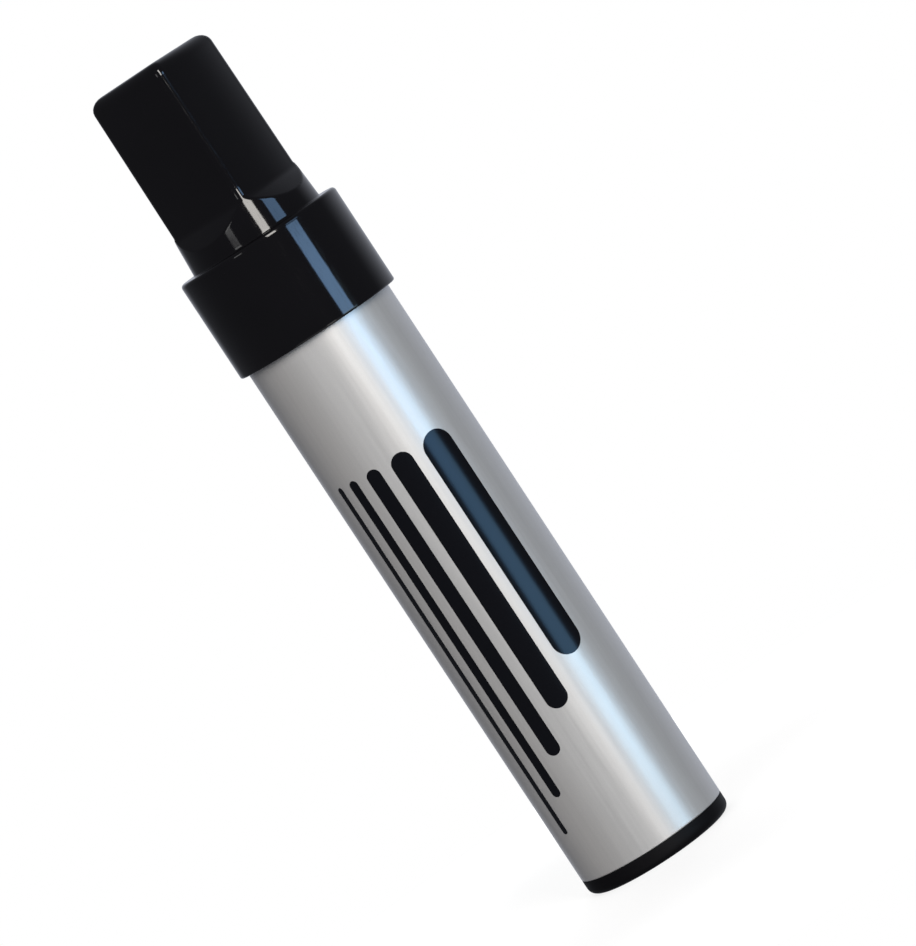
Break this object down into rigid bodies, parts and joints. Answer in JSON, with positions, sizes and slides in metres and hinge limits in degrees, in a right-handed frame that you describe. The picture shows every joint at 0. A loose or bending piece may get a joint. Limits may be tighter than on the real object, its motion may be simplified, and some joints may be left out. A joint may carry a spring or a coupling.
{
  "type": "permanent marker",
  "caption": "Jumbo permanent marker: silver aluminium barrel, black end plug, felt chisel nib in its holder, fibre ink reservoir, and a black pull-off cap with a square stem.",
  "frame": {"origin": "centre of the end plug's underside, on the surface the marker stands on", "axes": "+Z along the barrel from the end plug to the cap; the flats of the cap's stem face X and Y; the nib's wide side runs along X"},
  "size_m": [0.0264, 0.0264, 0.1361],
  "materials": {
    "barrel_lacquer": "satin silver lacquer",
    "cap_plastic": "polished moulding",
    "plug_plastic": "polished moulding",
    "holder_plastic": "satin moulding",
    "liner_plastic": "natural polyethylene",
    "nib_felt": "pressed felt soaked with black ink",
    "reservoir_fibre": "bonded polyester fibre soaked with black ink",
    "sleeve_film": "thin film"
  },
  "bodies": {
    "marker_body": {"barrel": "barrel_lacquer", "end_plug": "plug_plastic", "reservoir": "reservoir_fibre", "reservoir_sleeve": "sleeve_film", "nib_holder": "holder_plastic", "nib": "nib_felt"},
    "cap_core": {"cap_liner": "liner_plastic"},
    "cap_shell": {"cap": "cap_plastic"}
  },
  "joints": [
    {"name": "cap_pull", "type": "slide", "parent": "marker_body", "child": "cap_core", "axis": [0, 0, 1], "range_m": [0, 0.05]},
    {"name": "cap_turn", "type": "hinge", "parent": "cap_core", "child": "cap_shell", "pos_m": [0, 0, 0.1], "axis": [0, 0, 1], "continuous": true}
  ]
}
